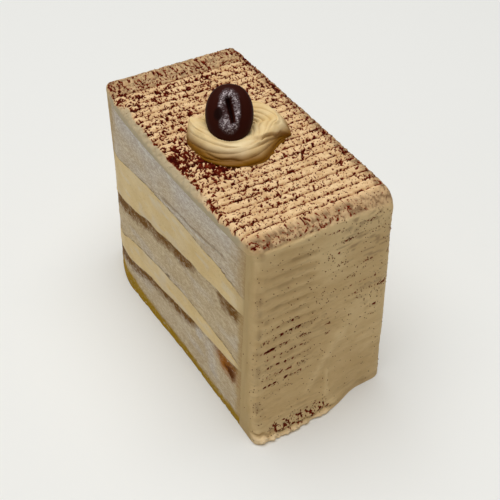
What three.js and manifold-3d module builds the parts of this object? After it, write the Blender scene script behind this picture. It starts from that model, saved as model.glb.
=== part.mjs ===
// A slice of layered coffee cake, cut from a long bar: three sponges and two fillings under a combed coat of
// coffee cream that goes up one end, over the top and down the other, with a piped rosette and a bean on top.
// Millimetres, +Z up. X runs across the slice from cut to cut, and Y along it from one coated end to another.
import * as THREE from 'three';
import Module from 'manifold-3d';

const { lerp, smoothstep, clamp, degToRad } = THREE.MathUtils;

// Block, with the distances of its two cut faces from the middle at the front, the middle and the back
const HEIGHT = 62;
const STATIONS = [-40, 0, 40];
const LEFT_CUT = {
  top: [18.8, 20.3, 19.0],
  foot: [21.4, 22.2, 24.4],
  turnIn: { from: 24, length: 17.4, radius: 26, atTop: 0.2 },
};
const RIGHT_CUT = {
  top: [19.6, 21.6, 23.2],
  foot: [21.4, 22.2, 23.4],
  turnIn: null,
};

// Cream coat
const FRONT = {
  side: -1,
  reach: 40.3,
  skirt: 1.9,
  corners: { left: { across: 2.2, along: 2.8 }, right: { across: 3.5, along: 3.5 } },
};
const BACK = {
  side: 1,
  reach: 42.2,
  skirt: 0,
  corners: { left: { across: 2, along: 2.4 }, right: { across: 2.6, along: 3 } },
};
const END_COAT = 4;
const END_LEAN = 1.6;
const TOP_COAT = 3;
const EDGE_ROLL = 5;
const EDGE_SHARPNESS = 4.5;
const ROUND_EDGE = 2;
const INNER_EDGE = 0.6;
const CUT_EDGE_RADIUS = 1.2;
const TOP_COMB = { pitch: 2.85, depth: 0.55, bow: 0.5, fading: 8 };
const END_COMB = { pitch: 3.1, depth: 0.22 };
const SKIRT = { rise: 16, fadeFrom: 1, fadeTo: 13 };
const LEDGE = { proud: 0.9, height: 3 };
const CORNER_DROOP = { depth: 1.6, from: 6, to: 18, reach: 9 };
const CUT_SAG = { depth: 1.1, across: 7, along: 17 };
const COAT_STEPS = { across: 7, edge: 6, corner: 2 };

// Layers, as heights of their joints at the front, the middle and the back of the slice
const LAYER_STATIONS = [-35, 0, 35];
const JOINTS = {
  bottomSpongeTop: [21.0, 17.0, 11.2],
  middleSpongeFoot: [22.4, 23.9, 16.8],
  middleSpongeTop: [40.3, 37.4, 31.1],
  topSpongeFoot: [46.0, 48.4, 43.6],
};
const JOINT_TILT = 0.03;
const LAYER_GAP = 0.06;
const COAT_GAP = 0.12;
const LAYER_STEPS = { along: 16, across: 4, up: 2 };

// Piped rosette
const ROSETTE = { x: 0.3, y: -0.75, crest: 9.3, outside: 3.6, inside: 5.8, height: 5.1, floor: 2.9 };
const ROPE_START = { until: 0.25, fullness: 0.86, inset: 0.6 };
const ROPE_TAIL = { from: 0.86, crest: 12.3, outside: 0.9, inside: 4.2, height: 4.8 };
const ROPE_SECTION = 0.94 * Math.PI;
const ROPE_STEEPNESS = 1.45;
const ROSETTE_SEAM = degToRad(141);
const FRONT_LOBE = { angle: degToRad(-124), width: 1.15, sinking: 1.1, smoothing: 0.9 };
const FLAT_SIDE = { angle: degToRad(-58), width: 0.5, inset: 1.9 };
const CUSP = { angle: degToRad(-25), edge: 0.1, drop: 0.7, fadeFrom: 0.2, fadeTo: 1.3 };
const FLUTE = { count: 5, depth: 0.3, sweep: 0.5 };
const ROSETTE_STEPS = { round: 56, section: 26 };
const REST_GAP = 0.1;

// Chocolate coffee bean
const BEAN = { length: 14.6, width: 11.8, face: 3.3, back: 4.7, x: -2.37, y: -0.63, z: 69.5 };
const BEAN_LEAN = degToRad(45);
const BEAN_TURN = degToRad(-31);
const BEAN_BLUNTNESS = 0.86;
const SLIT = { depth: 1.4, width: 0.7, sway: -0.6, fadeFrom: 0.42, fadeTo: 0.64, lip: 0.4, lipPlace: 2 };
const BEAN_STEPS = { round: 40, lengthwise: 18, crowdToFace: 0.55 };
const POCKET_GAP = 0.35;

// Finishes
const SPONGE = { color: 0xa59b8c, roughness: 0.85 };
const FILLING = { color: 0xbeaa7d, roughness: 0.6 };
const ICING = { color: 0xdcb987, roughness: 0.65 };
const PIPED_CREAM = { color: 0xe1c38c, roughness: 0.5 };
const CHOCOLATE = { color: 0x3c1414, roughness: 0.25 };

// Bell-shaped share that falls off with the distance from a place
const spot = (distance, width) => Math.exp(-((distance / width) ** 2));

// Smooth curve of a value along the slice, through its stations
function along(stations, values, at) {
  let sum = 0;
  for (let i = 0; i < stations.length; i++) {
    let weight = 1;
    for (let j = 0; j < stations.length; j++) {
      if (j !== i) weight *= (at - stations[j]) / (stations[i] - stations[j]);
    }
    sum += weight * values[i];
  }
  return sum;
}

// Distance of a cut face from the middle plane, wider at the foot than at the top, and turning in at the back
function cutOffset(cut, y, z) {
  const station = clamp(y, STATIONS[0], STATIONS[STATIONS.length - 1]);
  const top = along(STATIONS, cut.top, station);
  const foot = along(STATIONS, cut.foot, station);
  const up = clamp(z / HEIGHT, 0, 1);
  const offset = lerp(foot, top, up);
  if (!cut.turnIn) return offset;
  const { from, length, radius, atTop } = cut.turnIn;
  const past = clamp(y - from, 0, length);
  return offset - lerp(1, atTop, up) * (radius - Math.sqrt(radius ** 2 - past ** 2));
}

const cutLeft = (y, z) => -cutOffset(LEFT_CUT, y, z);
const cutRight = (y, z) => cutOffset(RIGHT_CUT, y, z);

// Level of the coat: it sags at the middle of the left cut and droops at the front right corner
function topLevel(x, y) {
  const towardLeft = Math.max(0, 1 - (x - cutLeft(y, HEIGHT)) / CUT_SAG.across);
  const sag = CUT_SAG.depth * towardLeft ** 2 * spot(y, CUT_SAG.along);
  const towardFront = Math.max(0, 1 - (y + FRONT.reach) / CORNER_DROOP.reach);
  const droop = CORNER_DROOP.depth * smoothstep(x, CORNER_DROOP.from, CORNER_DROOP.to) * towardFront ** 2;
  return HEIGHT - sag - droop;
}

// How far an end stands out: it leans to its foot, where a skirt of cream ends in a ledge. On the front end
// the skirt dies out toward the right
function endReach(end, x, z) {
  const lean = END_LEAN * (1 - z / HEIGHT);
  const spread = end === FRONT ? 1 - smoothstep(x, SKIRT.fadeFrom, SKIRT.fadeTo) : 1;
  const skirt = end.skirt * (1 - smoothstep(z, 0, SKIRT.rise));
  const ledge = LEDGE.proud * (1 - smoothstep(z, LEDGE.height / 2, LEDGE.height));
  return end.reach + lean + spread * (skirt + ledge);
}

// Rows left by a comb between two places, each tooth with the same profile of places and reliefs
function combRows(from, to, comb, profile) {
  const count = Math.round((to - from) / comb.pitch);
  const rows = [];
  for (let i = 0; i < count; i++) {
    for (const [place, relief] of profile) {
      rows.push({ at: lerp(from, to, (i + place) / count), relief: relief * comb.depth });
    }
  }
  rows.push({ at: to, relief: 0 });
  return rows;
}

// Profiles of one tooth, as places along it and shares of the comb's depth
const CREASED = [[0, 0], [0.36, 0], [0.5, -1], [0.64, 0]];
const RIPPLED = [[0, 0], [0.33, -1], [0.67, -1]];

// One end of the coat, from its foot to the start of the rolled edge
function endRows(end) {
  const innerY = end.side * (end.reach - END_COAT);
  const edgeFoot = HEIGHT - EDGE_ROLL;
  const innerTop = HEIGHT - TOP_COAT - INNER_EDGE;
  return combRows(0, edgeFoot, END_COMB, RIPPLED).map(({ at, relief }) => ({
    inner: [innerY, (at * innerTop) / edgeFoot],
    outer: (x) => [end.side * (endReach(end, x, at) + relief), at],
    corners: end.corners,
    blend: 0,
  }));
}

// The rolled edge between an end and the top, tight along most of it and wide at the drooping corner
function edgeRows(end) {
  const innerY = end.reach - END_COAT;
  const innerZ = HEIGHT - TOP_COAT;
  const rows = [];
  for (let i = 1; i < COAT_STEPS.edge; i++) {
    const gone = i / COAT_STEPS.edge;
    const turn = gone * (Math.PI / 2);
    const past = lerp(-INNER_EDGE, INNER_EDGE, gone);
    rows.push({
      inner: [end.side * (innerY - Math.max(0, past)), innerZ + Math.min(0, past)],
      outer: (x) => {
        const widen = end === FRONT ? smoothstep(x, CORNER_DROOP.from, CORNER_DROOP.to) : 0;
        const power = 2 / lerp(EDGE_SHARPNESS, ROUND_EDGE, widen);
        const rollFoot = endReach(end, x, HEIGHT - EDGE_ROLL) - EDGE_ROLL;
        const level = topLevel(x, end.side * rollFoot) - EDGE_ROLL;
        const y = rollFoot + EDGE_ROLL * Math.cos(turn) ** power;
        return [end.side * y, level + EDGE_ROLL * Math.sin(turn) ** power];
      },
      corners: end.corners,
      blend: gone,
    });
  }
  return rows;
}

// The combed top, whose grooves bow a little across the slice
function topRows() {
  const start = EDGE_ROLL - FRONT.reach;
  const finish = BACK.reach - EDGE_ROLL;
  const innerStart = END_COAT + INNER_EDGE - FRONT.reach;
  const innerFinish = BACK.reach - END_COAT - INNER_EDGE;
  return combRows(start, finish, TOP_COMB, CREASED).map(({ at, relief }) => {
    const gone = (at - start) / (finish - start);
    return {
      inner: [lerp(innerStart, innerFinish, gone), HEIGHT - TOP_COAT],
      outer: (x) => {
        const fade = 1 - (2 * gone - 1) ** TOP_COMB.fading;
        const y = at - TOP_COMB.bow * fade * (1 - (x / LEFT_CUT.top[1]) ** 2);
        return [y, topLevel(x, y) + relief];
      },
      corners: FRONT.corners,
      blend: 1,
    };
  });
}

// Section of the coat at one row, from the left cut round the outside to the right cut
function coatSection(row) {
  const place = (x, out) => {
    const [y, z] = row.outer(x);
    return [lerp(row.inner[0], y, out), lerp(row.inner[1], z, out)];
  };
  const corner = (end, cutAt) => {
    const across = lerp(end.across, CUT_EDGE_RADIUS, row.blend);
    const radius = lerp(end.along, CUT_EDGE_RADIUS, row.blend);
    const [y, z] = row.outer(cutAt(...row.inner));
    const depth = Math.hypot(y - row.inner[0], z - row.inner[1]);
    const toMiddle = cutAt === cutLeft ? 1 : -1;
    const points = [[cutAt(...row.inner), ...row.inner]];
    for (let i = 0; i <= COAT_STEPS.corner; i++) {
      const turn = (i / COAT_STEPS.corner) * (Math.PI / 2);
      const out = 1 - (radius / depth) * (1 - Math.sin(turn));
      const edge = cutAt(...place(cutAt(y, z), out));
      const x = edge + toMiddle * across * (1 - Math.cos(turn));
      points.push([x, ...place(x, out)]);
    }
    return points;
  };
  const left = corner(row.corners.left, cutLeft);
  const right = corner(row.corners.right, cutRight).reverse();
  const middle = [];
  for (let i = 1; i < COAT_STEPS.across; i++) {
    const x = lerp(left.at(-1)[0], right[0][0], i / COAT_STEPS.across);
    middle.push([x, ...place(x, 1)]);
  }
  return [...left, ...middle, ...right];
}

// Closed body from rings of points, each joined to the next, with both end rings filled
function bodyFromRings(rings, flat) {
  const size = rings[0].length;
  const faces = [];
  for (let i = 0; i + 1 < rings.length; i++) {
    for (let j = 0; j < size; j++) {
      const a = i * size + j;
      const b = i * size + ((j + 1) % size);
      faces.push(a, b, b + size, a, b + size, a + size);
    }
  }
  const last = (rings.length - 1) * size;
  for (const [ring, start, flip] of [[rings[0], 0, true], [rings.at(-1), last, false]]) {
    const outline = ring.map((point) => new THREE.Vector2(...flat(point)));
    const turned = THREE.ShapeUtils.isClockWise(outline) ? outline.slice().reverse() : outline;
    for (const face of THREE.ShapeUtils.triangulateShape(turned, [])) {
      const [a, b, c] = face.map((at) => start + (turned === outline ? at : size - 1 - at));
      faces.push(...(flip === (turned === outline) ? [a, c, b] : [a, b, c]));
    }
  }
  return body(rings.flat(), faces);
}

// Geometry of a closed body, with its faces turned outward
function body(points, faces) {
  let volume = 0;
  for (let i = 0; i < faces.length; i += 3) {
    const [a, b, c] = [0, 1, 2].map((k) => new THREE.Vector3(...points[faces[i + k]]));
    volume += a.dot(b.cross(c));
  }
  if (volume < 0) {
    for (let i = 0; i < faces.length; i += 3) [faces[i], faces[i + 1]] = [faces[i + 1], faces[i]];
  }
  const geometry = new THREE.BufferGeometry();
  geometry.setAttribute('position', new THREE.Float32BufferAttribute(points.flat(), 3));
  geometry.setIndex(faces);
  geometry.computeVertexNormals();
  return geometry;
}

function icingGeometry() {
  const front = [...endRows(FRONT), ...edgeRows(FRONT)];
  const back = [...endRows(BACK), ...edgeRows(BACK)];
  const rows = [...front, ...topRows(), ...back.reverse()];
  return bodyFromRings(rows.map(coatSection), ([x, y]) => [x, y]);
}

// Height of a joint between layers: it rises and falls along the slice and tilts a little across it
function jointLevel(joint, x, y) {
  return along(LAYER_STATIONS, joint, y) + JOINT_TILT * x;
}

// A layer between two levels, running from cut to cut and from end coat to end coat
function layerGeometry(lower, upper) {
  const start = END_COAT + COAT_GAP - FRONT.reach;
  const finish = BACK.reach - END_COAT - COAT_GAP;
  const { along: rows, across: columns, up: heights } = LAYER_STEPS;
  const ringAt = (y) => {
    const place = (across, up) => {
      const level = (x) => lerp(lower(x, y), upper(x, y), up);
      const left = cutLeft(y, level(cutLeft(y, HEIGHT / 2)));
      const right = cutRight(y, level(cutRight(y, HEIGHT / 2)));
      const x = lerp(left, right, across);
      return [x, y, level(x)];
    };
    const ring = [];
    for (let i = 0; i < columns; i++) ring.push(place(i / columns, 0));
    for (let i = 0; i < heights; i++) ring.push(place(1, i / heights));
    for (let i = 0; i < columns; i++) ring.push(place(1 - i / columns, 1));
    for (let i = 0; i < heights; i++) ring.push(place(0, 1 - i / heights));
    return ring;
  };
  const rings = [];
  for (let i = 0; i <= rows; i++) rings.push(ringAt(lerp(start, finish, i / rows)));
  return bodyFromRings(rings, ([x, , z]) => [x, z]);
}

// How far one direction is turned from another
function turnFrom(angle, other) {
  return Math.atan2(Math.sin(angle - other), Math.cos(angle - other));
}

// Rope of the rosette: it starts low behind the seam, goes once round and ends in a pointed tail. Past the
// cusp on its right side it dips under the turn behind, and its front lobe is low and smooth
function rosetteGeometry() {
  const { round: turns, section: sectionSteps } = ROSETTE_STEPS;
  const points = [[0, 0, 0], [0, 0, ROSETTE.floor]];
  for (let i = 0; i < turns; i++) {
    const gone = (i + 0.5) / turns;
    const angle = ROSETTE_SEAM - gone * Math.PI * 2;
    const start = smoothstep(gone, 0, ROPE_START.until);
    const tail = smoothstep(gone, ROPE_TAIL.from, 1);
    const fullness = lerp(ROPE_START.fullness, 1, start);
    const lobe = spot(turnFrom(angle, FRONT_LOBE.angle), FRONT_LOBE.width);
    const pastCusp = turnFrom(CUSP.angle, angle);
    const under = smoothstep(pastCusp, -CUSP.edge, CUSP.edge);
    const drop = CUSP.drop * under * (1 - smoothstep(pastCusp, CUSP.fadeFrom, CUSP.fadeTo));
    const flat = FLAT_SIDE.inset * under * spot(turnFrom(angle, FLAT_SIDE.angle), FLAT_SIDE.width);
    const crest = lerp(ROSETTE.crest - ROPE_START.inset * (1 - start) - flat, ROPE_TAIL.crest, tail);
    const outside = lerp(ROSETTE.outside * fullness, ROPE_TAIL.outside, tail);
    const inside = lerp(ROSETTE.inside * fullness, ROPE_TAIL.inside, tail);
    const sunk = Math.max(FRONT_LOBE.sinking * lobe, drop);
    const top = lerp(ROSETTE.height * fullness - sunk, ROPE_TAIL.height, tail);
    const ridges = FLUTE.depth * (1 - FRONT_LOBE.smoothing * lobe) * (1 - tail);
    for (let j = 0; j <= sectionSteps; j++) {
      const section = ROPE_SECTION * (j / sectionSteps);
      const up = Math.sin(section);
      const out = Math.cos(section);
      const swell = ridges * up * Math.cos(2 * FLUTE.count * (section - FLUTE.sweep * angle));
      let radius = crest + (inside + swell / 2) * out;
      let height = lerp(ROSETTE.floor, top, up) + swell;
      if (out > 0) {
        radius = crest + (outside + swell) * out ** ROPE_STEEPNESS;
        height = (top + swell) * up ** ROPE_STEEPNESS;
      }
      points.push([radius * Math.cos(angle), radius * Math.sin(angle), height]);
    }
  }
  const size = sectionSteps + 1;
  const at = (i, j) => 2 + (i % turns) * size + j;
  const faces = [];
  for (let i = 0; i < turns; i++) {
    faces.push(0, at(i, 0), at(i + 1, 0), 1, at(i + 1, sectionSteps), at(i, sectionSteps));
    for (let j = 0; j < sectionSteps; j++) {
      faces.push(at(i, j), at(i, j + 1), at(i + 1, j + 1), at(i, j), at(i + 1, j + 1), at(i + 1, j));
    }
  }
  return body(points, faces);
}

// The bean, made upright with its face to the front: a domed back, and a slit between two lips down the face
function beanGeometry(grow) {
  const { round, lengthwise, crowdToFace } = BEAN_STEPS;
  const half = BEAN.length / 2 + grow;
  const points = [[0, 0, -half], [0, 0, half]];
  for (let i = 1; i < lengthwise; i++) {
    const z = -half * Math.cos((i / lengthwise) * Math.PI);
    const taper = Math.sqrt(1 - (z / half) ** 2) ** BEAN_BLUNTNESS;
    const slitPlace = SLIT.sway * Math.sin((z / half) * Math.PI);
    const slitFade = grow > 0 ? 0 : 1 - smoothstep(Math.abs(z / half), SLIT.fadeFrom, SLIT.fadeTo);
    for (let j = 0; j < round; j++) {
      const even = (j / round) * Math.PI * 2;
      const angle = even + crowdToFace * Math.sin(even);
      const x = (BEAN.width / 2 + grow) * taper * Math.sin(angle);
      const facing = Math.cos(angle);
      const bulge = facing > 0 ? BEAN.face : BEAN.back;
      let y = -(bulge + grow) * taper * facing;
      if (facing > 0) {
        const across = Math.abs(x - slitPlace);
        const groove = SLIT.depth * spot(across, SLIT.width);
        const lip = SLIT.lip * spot(across - SLIT.lipPlace, SLIT.width);
        y += slitFade * facing * (groove - lip);
      }
      points.push([x, y, z]);
    }
  }
  const at = (i, j) => 2 + (i - 1) * round + (j % round);
  const faces = [];
  for (let j = 0; j < round; j++) {
    faces.push(0, at(1, j), at(1, j + 1), 1, at(lengthwise - 1, j + 1), at(lengthwise - 1, j));
    for (let i = 1; i + 1 < lengthwise; i++) {
      faces.push(at(i, j), at(i + 1, j), at(i + 1, j + 1), at(i, j), at(i + 1, j + 1), at(i, j + 1));
    }
  }
  const geometry = body(points, faces);
  geometry.rotateX(-BEAN_LEAN);
  geometry.rotateZ(BEAN_TURN);
  return geometry.translate(BEAN.x, BEAN.y, BEAN.z);
}

const wasm = await Module();
wasm.setup();

function solidOf(geometry) {
  return new wasm.Manifold(new wasm.Mesh({
    numProp: 3,
    vertProperties: new Float32Array(geometry.getAttribute('position').array),
    triVerts: new Uint32Array(geometry.getIndex().array),
  }));
}

// The rosette with the pocket that the bean is pressed into
function pressedRosette() {
  const base = HEIGHT + REST_GAP;
  const rope = solidOf(rosetteGeometry().translate(ROSETTE.x, ROSETTE.y, base));
  const mesh = rope.subtract(solidOf(beanGeometry(POCKET_GAP))).getMesh();
  const geometry = new THREE.BufferGeometry();
  geometry.setAttribute('position', new THREE.Float32BufferAttribute(mesh.vertProperties, 3));
  geometry.setIndex(Array.from(mesh.triVerts));
  geometry.computeVertexNormals();
  return geometry;
}

function node(name, geometry, finish) {
  const mesh = new THREE.Mesh(geometry, new THREE.MeshStandardMaterial({ ...finish, metalness: 0 }));
  mesh.name = name;
  return mesh;
}

const floor = () => 0;
const underCoat = () => HEIGHT - TOP_COAT - COAT_GAP;
const above = (joint) => (x, y) => jointLevel(joint, x, y) + LAYER_GAP / 2;
const below = (joint) => (x, y) => jointLevel(joint, x, y) - LAYER_GAP / 2;
const sponge = (name, lower, upper) => node(name, layerGeometry(lower, upper), SPONGE);
const filling = (name, lower, upper) => node(name, layerGeometry(lower, upper), FILLING);

const slice = new THREE.Group();
slice.add(
  sponge('sponge_bottom', floor, below(JOINTS.bottomSpongeTop)),
  filling('filling_lower', above(JOINTS.bottomSpongeTop), below(JOINTS.middleSpongeFoot)),
  sponge('sponge_middle', above(JOINTS.middleSpongeFoot), below(JOINTS.middleSpongeTop)),
  filling('filling_upper', above(JOINTS.middleSpongeTop), below(JOINTS.topSpongeFoot)),
  sponge('sponge_top', above(JOINTS.topSpongeFoot), underCoat),
  node('icing', icingGeometry(), ICING),
  node('rosette', pressedRosette(), PIPED_CREAM),
  node('bean', beanGeometry(0), CHOCOLATE),
);

export default slice;
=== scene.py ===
import math
from types import SimpleNamespace as Values

import bpy
import numpy as np
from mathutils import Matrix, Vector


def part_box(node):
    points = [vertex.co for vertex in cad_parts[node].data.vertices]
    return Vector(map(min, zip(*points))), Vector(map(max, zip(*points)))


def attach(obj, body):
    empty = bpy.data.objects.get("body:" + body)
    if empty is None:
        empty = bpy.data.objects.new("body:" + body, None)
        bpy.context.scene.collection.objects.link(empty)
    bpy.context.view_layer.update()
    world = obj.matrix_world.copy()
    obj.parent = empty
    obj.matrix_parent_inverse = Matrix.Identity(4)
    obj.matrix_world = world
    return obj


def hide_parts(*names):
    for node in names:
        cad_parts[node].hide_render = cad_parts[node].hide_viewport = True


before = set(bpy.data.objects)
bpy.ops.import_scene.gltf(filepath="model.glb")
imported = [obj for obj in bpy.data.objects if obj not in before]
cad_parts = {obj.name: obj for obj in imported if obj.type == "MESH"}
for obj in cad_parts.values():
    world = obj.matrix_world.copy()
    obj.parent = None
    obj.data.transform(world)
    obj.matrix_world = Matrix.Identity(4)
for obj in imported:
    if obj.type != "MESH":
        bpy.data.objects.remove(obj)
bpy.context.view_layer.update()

# Sponge and filling layers: three moist coffee sponges with whipped coffee cream spread between them, cut
# through with a long knife that smears cream over the crumb. Syrup has browned the sponge under each
# filling, and the lowest sponge stands on a golden baked crust.
# Their cut faces carry a painted grey sheen where they look glossy.
MM = 0.001
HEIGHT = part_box("icing")[1].z / MM
CUT_STATIONS = (-40.0, 0.0, 40.0)
LEFT_CUT = Values(
    side=-1,
    top=(18.8, 20.3, 19.0),
    foot=(21.4, 22.2, 24.4),
    turn_in=Values(start=24.0, length=17.4, radius=26.0, at_top=0.2),
    seed=20,
    relief_seed=60,
)
RIGHT_CUT = Values(
    side=1,
    top=(19.6, 21.6, 23.2),
    foot=(21.4, 22.2, 23.4),
    turn_in=None,
    seed=40,
    relief_seed=70,
)
CUTS = (LEFT_CUT, RIGHT_CUT)
LAYERS_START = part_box("sponge_top")[0].y / MM
LAYERS_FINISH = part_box("sponge_top")[1].y / MM
JOINT_STATIONS = (-35.0, 0.0, 35.0)
JOINTS = {
    "bottom_sponge_top": (21.0, 17.0, 11.2),
    "middle_sponge_foot": (22.4, 23.9, 16.8),
    "middle_sponge_top": (40.3, 37.4, 31.1),
    "top_sponge_foot": (46.0, 48.4, 43.6),
}
JOINT_TILT = 0.03
JOINT_WOBBLE = Values(height=0.45, length=6, width=9, seed=3)
JOINT_LINE = 0.3
TOP_COAT = 3.0
LAYER_GRID = 0.3
LAYER_COLUMNS = 4
LAYER_OVERLAP = 0.25
LAYER_END_FADE = (0.3, 2.5)
FILLING_PROUD = 0.1
PORE_DEPTH = 0.16

# How deep the syrup has gone in under a filling, and how high the crust is, at places along the slice
SYRUP_PLACES = (-36, -33, -27, -24, -16, -11, 0, 20, 36)
SYRUP_DEPTHS = {
    "sponge_middle": (3.0, 5.0, 4.6, 1.0, 0.8, 3.8, 4.0, 4.4, 5.2),
    "sponge_bottom": (3.4, 4.2, 3.8, 1.8, 1.0, 3.6, 3.4, 3.8, 4.4),
}
CRUST = Values(places=(-36, -20, 0, 15, 28, 36), heights=(3.2, 3.3, 3.6, 4.4, 6.4, 7.2))

# Marks on a cut face. An oval has its place along the slice, its level from the layer's joint and a slope
TOASTED = Values(at=-29.6, level=3.4, length=6.0, depth=3.6, slope=0.15)
SINGED = Values(at=-31.4, level=4.0, length=3.4, depth=2.6, slope=0.2)
# Painted sheen: a grey patch and a grey streak on the bottom sponge's cut face
SHEEN_PATCH = Values(at=-15.5, level=2.6, length=3.0, depth=2.6, slope=0.0)
BROWN_TICK = Values(at=1.5, level=0.5, length=2.2, depth=0.8, slope=0.4)
SHEEN_STREAK = Values(at=-20, slope=0.25, width=2.8, from_floor=(4, 8), from_filling=(0.5, 3))
# A fold on the top sponge's cut face: its dark line is painted shade, the pale stripe under it painted
# highlight
CREASE_PATH = Values(places=(-27, -20, -10, 4), levels=(5.0, 3.6, 2.4, 1.4))
FOLD_SHADE = Values(width=0.4, shown=(-30, -26, 0, 6))
FOLD_HIGHLIGHT = Values(under_crease=1.0, width=0.5, shown=(-24, -18, 0, 12))
END_SMEAR = Values(reach=(3.6, 8.0), growing=(40, 56))
# Heights over which the top sponge's painted sheen grows
TOP_SHEEN = (51, 59)

# Kinds of unevenness on a cut face, each with its height, length, rise and seed
RAGGED = ((0.8, 1.2, 1.0, 2), (0.6, 0.55, 0.5, 3))
STREAKS = ((1.6, 2.2, 9, 5), (0.7, 0.5, 3, 6))
KNIFE_MARKS = ((0.12, 6, 1.8, 0), (0.05, 2, 0.6, 1))


def srgb(red, green, blue):
    """Linear colour, with alpha, of a colour as it is read off a screen."""
    screen = np.array((red, green, blue)) / 255
    linear = np.where(screen <= 0.04045, screen / 12.92, ((screen + 0.055) / 1.055) ** 2.4)
    return (*linear.tolist(), 1.0)


SPONGE_PALE = srgb(223, 206, 171)
SPONGE_DEEP = srgb(197, 177, 141)
SYRUP_BROWN = srgb(117, 84, 43)
JOINT_BROWN_AND_FOLD_SHADE = srgb(92, 70, 44)
# Grey of the painted sheen on the cut faces
CUT_SHEEN_GREY = srgb(217, 211, 200)
GOLDEN_CRUST = srgb(164, 128, 22)
TOASTED_SPOT = srgb(166, 98, 18)
TOASTED_CORE = srgb(92, 48, 10)
FILLING_PALE = srgb(229, 203, 148)
FILLING_DEEP = srgb(210, 179, 123)
SPREAD_CREAM = srgb(188, 161, 113)
SPONGE_CRUMB = {"bumps": 1500, "stretch": (1, 0.3, 1)}
FILLING_CRUMB = {"bumps": 1400, "stretch": (1, 0.6, 1)}
SOFT_LIGHT_INSIDE = {
    "Subsurface_Weight": 0.06,
    "Subsurface_Scale": 0.001,
    "Subsurface_Radius": (1.0, 0.8, 0.6),
}


def mix(low, high, share):
    return low + (high - low) * share


def ramp(value, low, high):
    """Smooth step from 0 at low to 1 at high."""
    share = np.clip((value - low) / (high - low), 0, 1)
    return share * share * (3 - 2 * share)


def fall(value, low, high):
    """Smooth step from 1 at low to 0 at high."""
    return 1 - ramp(value, low, high)


def band(value, start, full, still_full, finish):
    """Smooth rise from 0 to 1, and the fall back to 0 further on."""
    return ramp(value, start, full) * fall(value, still_full, finish)


def spot(distance, width):
    """Soft round spot: 1 in its middle, dying out past its width."""
    return np.exp(-((distance / width) ** 2))


def oval(along, up, place):
    """Distance from the middle of an oval, which is 1 at the oval's edge."""
    run = along - place.at
    rise = up - place.level + place.slope * run
    return np.hypot(run / place.length, rise / place.depth)


def most(*values):
    """Largest of several values, at every point."""
    return np.maximum.reduce(np.broadcast_arrays(*values))


def mottle(u, v, seed):
    """Smooth noise from -1 to 1 over a plane, with one bump to a unit."""
    size = 128
    heights = np.random.default_rng(seed).uniform(-1, 1, (size, size))
    u, v = np.broadcast_arrays(u, v)
    column = np.floor(u).astype(int)
    row = np.floor(v).astype(int)
    s = ramp(u - column, 0, 1)
    t = ramp(v - row, 0, 1)

    def corner(right, up):
        return heights[(column + right) % size, (row + up) % size]

    return mix(mix(corner(0, 0), corner(1, 0), s), mix(corner(0, 1), corner(1, 1), s), t)


def uneven(u, v, kinds, seed=0):
    """Several kinds of noise together, each with a height, its size either way and its own seed."""
    return sum(height * mottle(u / wide, v / long, seed + own) for height, wide, long, own in kinds)


def curve_through(stations, values, at):
    """Smooth curve through a value at each station."""
    total = 0
    for i, value in enumerate(values):
        weight = 1
        for j, station in enumerate(stations):
            if j != i:
                weight = weight * (at - station) / (stations[i] - station)
        total = total + weight * value
    return total


def cut_face(cut, y, z):
    """X of a cut face: wider at the foot than at the top, and turning in where the cut does."""
    station = np.clip(y, CUT_STATIONS[0], CUT_STATIONS[-1])
    up = np.clip(z / HEIGHT, 0, 1)
    foot = curve_through(CUT_STATIONS, cut.foot, station)
    top = curve_through(CUT_STATIONS, cut.top, station)
    offset = mix(foot, top, up)
    turn = cut.turn_in
    if turn:
        past = np.clip(y - turn.start, 0, turn.length)
        drop = turn.radius - np.sqrt(turn.radius ** 2 - past**2)
        offset = offset - mix(1, turn.at_top, up) * drop
    return cut.side * offset


def joint(name):
    """Level of the joint between two layers, as uneven as it was spread."""
    heights = JOINTS[name]

    def level(x, y):
        across = x / JOINT_WOBBLE.width + heights[0]
        wobble = JOINT_WOBBLE.height * mottle(y / JOINT_WOBBLE.length, across, JOINT_WOBBLE.seed)
        return curve_through(JOINT_STATIONS, heights, y) + JOINT_TILT * x + wobble

    return level


def floor_level(x, y):
    return 0 * (x + y)


def under_coat(x, y):
    return HEIGHT - TOP_COAT + 0 * (x + y)


def add_object(name, data):
    """Object in the scene, at the origin."""
    made = bpy.data.objects.new(name, data)
    bpy.context.scene.collection.objects.link(made)
    return made


def add_mask(mesh, name, values):
    mesh.attributes.new(name, "FLOAT", "POINT").data.foreach_set("value", np.ravel(values))


def new_piece(name, points, faces, masks, material):
    """Mesh object from points in millimetres, facing outwards, with a value of each mask at every point."""
    corners = points[np.array([face[:3] for face in faces])]
    volume = np.einsum("ij,ij->i", corners[:, 0], np.cross(corners[:, 1], corners[:, 2])).sum()
    if volume < 0:
        faces = [face[::-1] for face in faces]
    mesh = bpy.data.meshes.new(name)
    mesh.from_pydata((points * MM).tolist(), [], faces)
    for mask, values in masks.items():
        add_mask(mesh, mask, values)
    mesh.shade_smooth()
    mesh.materials.append(material)
    return add_object(name, mesh)


def ring_faces(rings, size):
    """Quads between closed rings of points that follow each other. The first and last ring are filled."""
    ring = np.arange(rings - 1)[:, None] * size
    here = np.arange(size)
    after = (here + 1) % size
    quads = np.stack([ring + here, ring + after, ring + size + after, ring + size + here], axis=-1)
    last = (rings - 1) * size
    return quads.reshape(-1, 4).tolist() + [here[::-1].tolist(), (last + here).tolist()]


def add_node(tree, kind, inputs=None, **settings):
    """Node of a tree, with its settings, and its inputs set to a value or linked from a socket."""
    made = tree.nodes.new(kind)
    for setting, value in settings.items():
        setattr(made, setting, value)
    for key, value in (inputs or {}).items():
        if isinstance(value, bpy.types.NodeSocket):
            tree.links.new(value, made.inputs[key])
        else:
            made.inputs[key].default_value = value
    return made


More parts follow.
